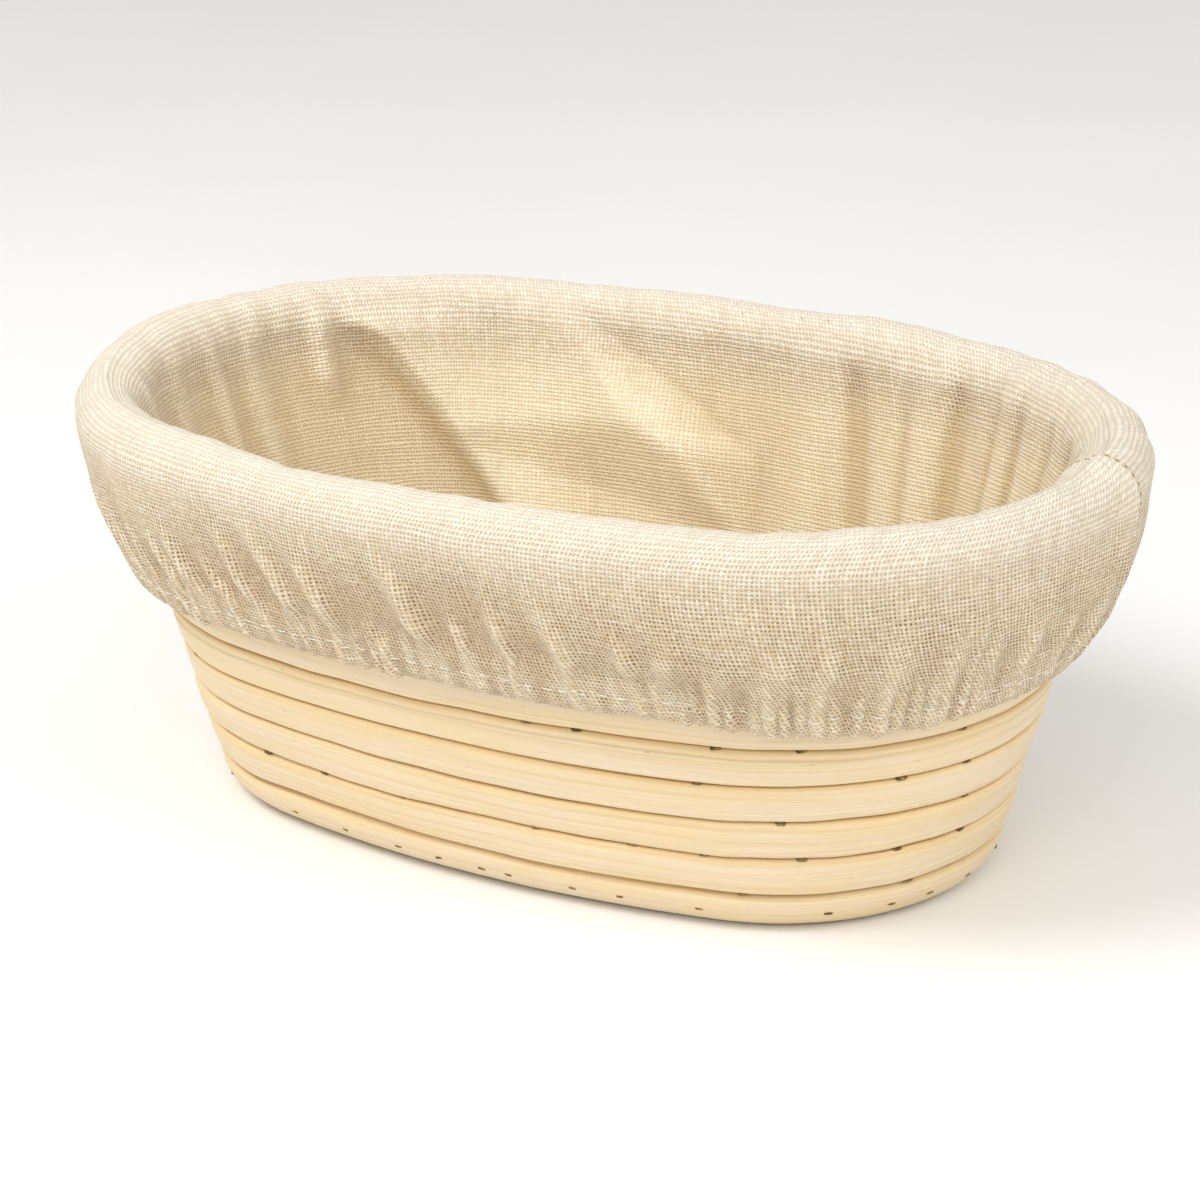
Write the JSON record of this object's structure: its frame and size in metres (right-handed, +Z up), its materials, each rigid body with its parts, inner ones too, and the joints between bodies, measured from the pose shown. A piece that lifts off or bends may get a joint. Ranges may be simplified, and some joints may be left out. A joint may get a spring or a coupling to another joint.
{
  "type": "banneton proofing basket",
  "caption": "Oval coiled cane proofing basket for bread dough, with a removable linen liner whose elastic hem grips the outside of the wall.",
  "frame": {"origin": "middle of the basket on the table plane it stands on", "axes": "+X along the oval's length, towards the liner's closing seam; +Y across it; +Z up"},
  "size_m": [0.2395, 0.1602, 0.0936],
  "materials": {
    "cane": "natural rattan cane, unvarnished, with fine lengthwise grain",
    "staple_wire": "dull dark wire",
    "linen": "coarse natural plain weave linen, unbleached",
    "elastic": "white knitted elastic, matte",
    "thread": "white sewing thread"
  },
  "bodies": {
    "basket": {"wall_ring_01": "cane", "wall_ring_02": "cane", "wall_ring_03": "cane", "wall_ring_04": "cane", "wall_ring_05": "cane", "wall_ring_06": "cane", "wall_ring_07": "cane", "wall_ring_08": "cane", "wall_ring_09": "cane", "rim_ring_10": "cane", "base_core": "cane", "base_coil_01": "cane", "base_coil_02": "cane", "base_coil_03": "cane", "base_coil_04": "cane", "wall_staples": "staple_wire", "foot_staples": "staple_wire", "base_staples": "staple_wire"},
    "liner": {"liner_base_panel": "linen", "liner_base_seam": "linen", "liner_side_panel": "linen", "liner_rim_fold": "linen", "liner_skirt": "linen", "liner_hem_casing": "linen", "liner_hem_elastic": "elastic", "liner_hem_stitching": "thread", "liner_side_seam": "linen"}
  },
  "joints": [
    {"name": "liner_lift", "type": "slide", "parent": "basket", "child": "liner", "axis": [0, 0, 1], "range_m": [0, 0.1], "deforming": ["liner_skirt", "liner_hem_casing", "liner_hem_elastic", "liner_hem_stitching", "liner_side_seam"]}
  ]
}
